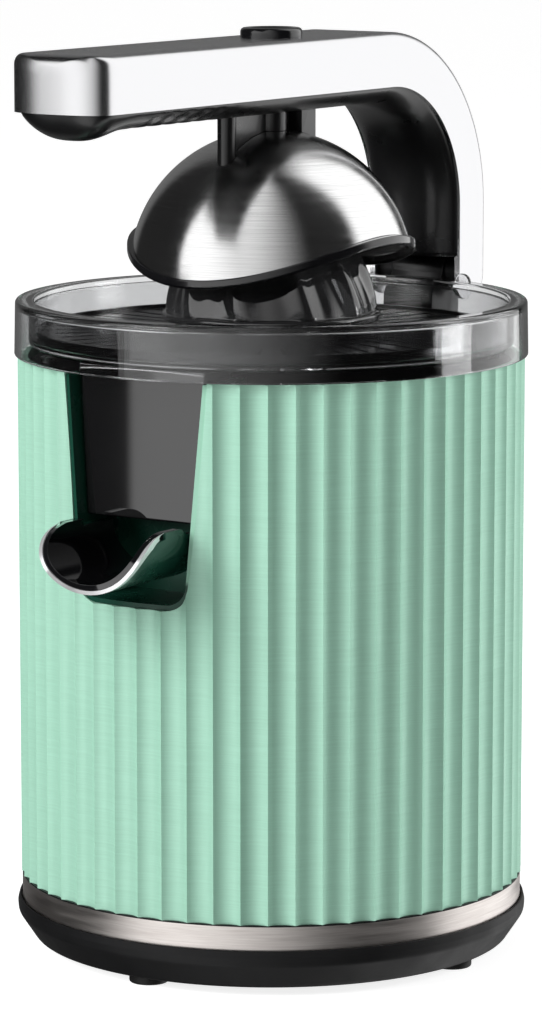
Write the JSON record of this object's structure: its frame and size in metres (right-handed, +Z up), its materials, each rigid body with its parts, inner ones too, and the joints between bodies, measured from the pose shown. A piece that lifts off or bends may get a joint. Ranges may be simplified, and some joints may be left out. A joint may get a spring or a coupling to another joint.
{
  "type": "citrus press juicer",
  "caption": "Electric citrus press with a hinged lever arm, domed fruit press over a ribbed reamer, smoked juice bowl, tilting front spout and a fluted round body.",
  "frame": {"origin": "on the axis of the round body, on the plane that the four feet rest on", "axes": "+Z up, spout and lever handle towards -Y, lever hinge at +Y, +X to the right seen from the front"},
  "size_m": [0.1838, 0.2475, 0.3294],
  "materials": {
    "green_paint": "satin",
    "green_moulding": "gloss",
    "black_moulding": "matte",
    "gloss_black": "gloss",
    "strainer_black": "satin",
    "smoked_clear": "clear",
    "reamer_smoke": "gloss",
    "brushed_band": "brushed",
    "brushed_dome": "brushed",
    "silver_arm": "satin",
    "chrome_trim": "polished",
    "rubber": "matte",
    "steel": "plain",
    "spring_steel": "plain",
    "rotor_iron": "plain",
    "bronze": "plain",
    "gear_nylon": "satin",
    "red_button": "satin"
  },
  "bodies": {
    "body_unit": {"base_tray": "black_moulding", "front_foot": "rubber", "right_foot": "rubber", "back_foot": "rubber", "left_foot": "rubber", "base_screws": "steel", "steel_band": "brushed_band", "shell_gasket": "black_moulding", "fluted_shell": "green_paint", "inner_housing": "black_moulding", "top_deck": "black_moulding", "deck_screws": "steel", "spout_recess": "green_moulding", "spout_pins": "steel", "gearbox_base": "black_moulding", "gearbox_cover": "black_moulding", "vibration_mounts": "rubber", "gearbox_screws": "steel", "output_bush": "bronze", "idler_axle": "steel", "motor_can": "steel", "motor_screws": "steel", "motor_end_cap": "black_moulding", "motor_bushes": "bronze", "stator_magnets": "rotor_iron", "shaft_bush": "bronze", "shaft_seal": "rubber", "micro_switch": "black_moulding", "switch_bracket": "steel", "terminal_block": "black_moulding", "cable_gland": "black_moulding", "juice_bowl": "smoked_clear", "strainer": "strainer_black", "hinge_tower": "gloss_black", "tower_screws": "steel"},
    "motor_rotor": {"motor_rotor": "rotor_iron", "motor_pinion": "gear_nylon", "cooling_fan": "black_moulding"},
    "idler_gear": {"idler_gear": "gear_nylon"},
    "output_gear": {"output_gear": "gear_nylon"},
    "thrust_carriage": {"thrust_collar": "gear_nylon", "return_spring": "spring_steel"},
    "reamer_drive": {"drive_shaft": "steel", "reamer": "reamer_smoke"},
    "switch_button": {"switch_button": "red_button"},
    "spout": {"spout_tray": "gloss_black", "spout_trim": "chrome_trim", "spout_cover": "green_moulding"},
    "lever_arm": {"arm_shell": "silver_arm", "arm_liner": "gloss_black", "arm_screws": "steel", "hinge_pin": "steel", "hinge_spacers": "black_moulding", "dome_bracket": "gloss_black", "press_dome": "brushed_dome", "dome_gasket": "rubber", "dome_screw": "steel"},
    "release_knob": {"release_knob": "gloss_black", "knob_spring": "spring_steel"}
  },
  "joints": [
    {"name": "arm_hinge", "type": "hinge", "parent": "body_unit", "child": "lever_arm", "pos_m": [0, 0.10615, 0.234], "axis": [-1, 0, 0], "range_deg": [0, 85]},
    {"name": "knob_press", "type": "slide", "parent": "lever_arm", "child": "release_knob", "axis": [0, 0, -1], "range_m": [0, 0.003], "stiffness_N_per_m": 500, "springref_m": -0.002, "deforming": ["knob_spring"]},
    {"name": "reamer_press", "type": "slide", "parent": "body_unit", "child": "thrust_carriage", "axis": [0, 0, -1], "range_m": [0, 0.0025], "stiffness_N_per_m": 3000, "springref_m": -0.003, "deforming": ["return_spring"]},
    {"name": "motor_spin", "type": "hinge", "parent": "body_unit", "child": "motor_rotor", "pos_m": [0, -0.003, 0.06], "axis": [0, 0, 1], "continuous": true},
    {"name": "idler_spin", "type": "hinge", "parent": "body_unit", "child": "idler_gear", "pos_m": [0, 0.032, 0.11], "axis": [0, 0, 1], "continuous": true},
    {"name": "output_spin", "type": "hinge", "parent": "body_unit", "child": "output_gear", "pos_m": [0, 0, 0.12], "axis": [0, 0, 1], "continuous": true},
    {"name": "reamer_spin", "type": "hinge", "parent": "thrust_carriage", "child": "reamer_drive", "pos_m": [0, 0, 0.2], "axis": [0, 0, 1], "continuous": true},
    {"name": "switch_press", "type": "slide", "parent": "body_unit", "child": "switch_button", "axis": [0, 0, -1], "range_m": [0, 0.0025]},
    {"name": "spout_tilt", "type": "hinge", "parent": "body_unit", "child": "spout", "pos_m": [0, -0.074, 0.154], "axis": [-1, 0, 0], "range_deg": [0, 18]}
  ],
  "couplings": [
    {"joint": "idler_spin", "follows": "motor_spin", "ratio": -0.25},
    {"joint": "output_spin", "follows": "motor_spin", "ratio": 0.083333},
    {"joint": "reamer_spin", "follows": "motor_spin", "ratio": 0.083333},
    {"joint": "switch_press", "follows": "reamer_press", "ratio": 1}
  ]
}
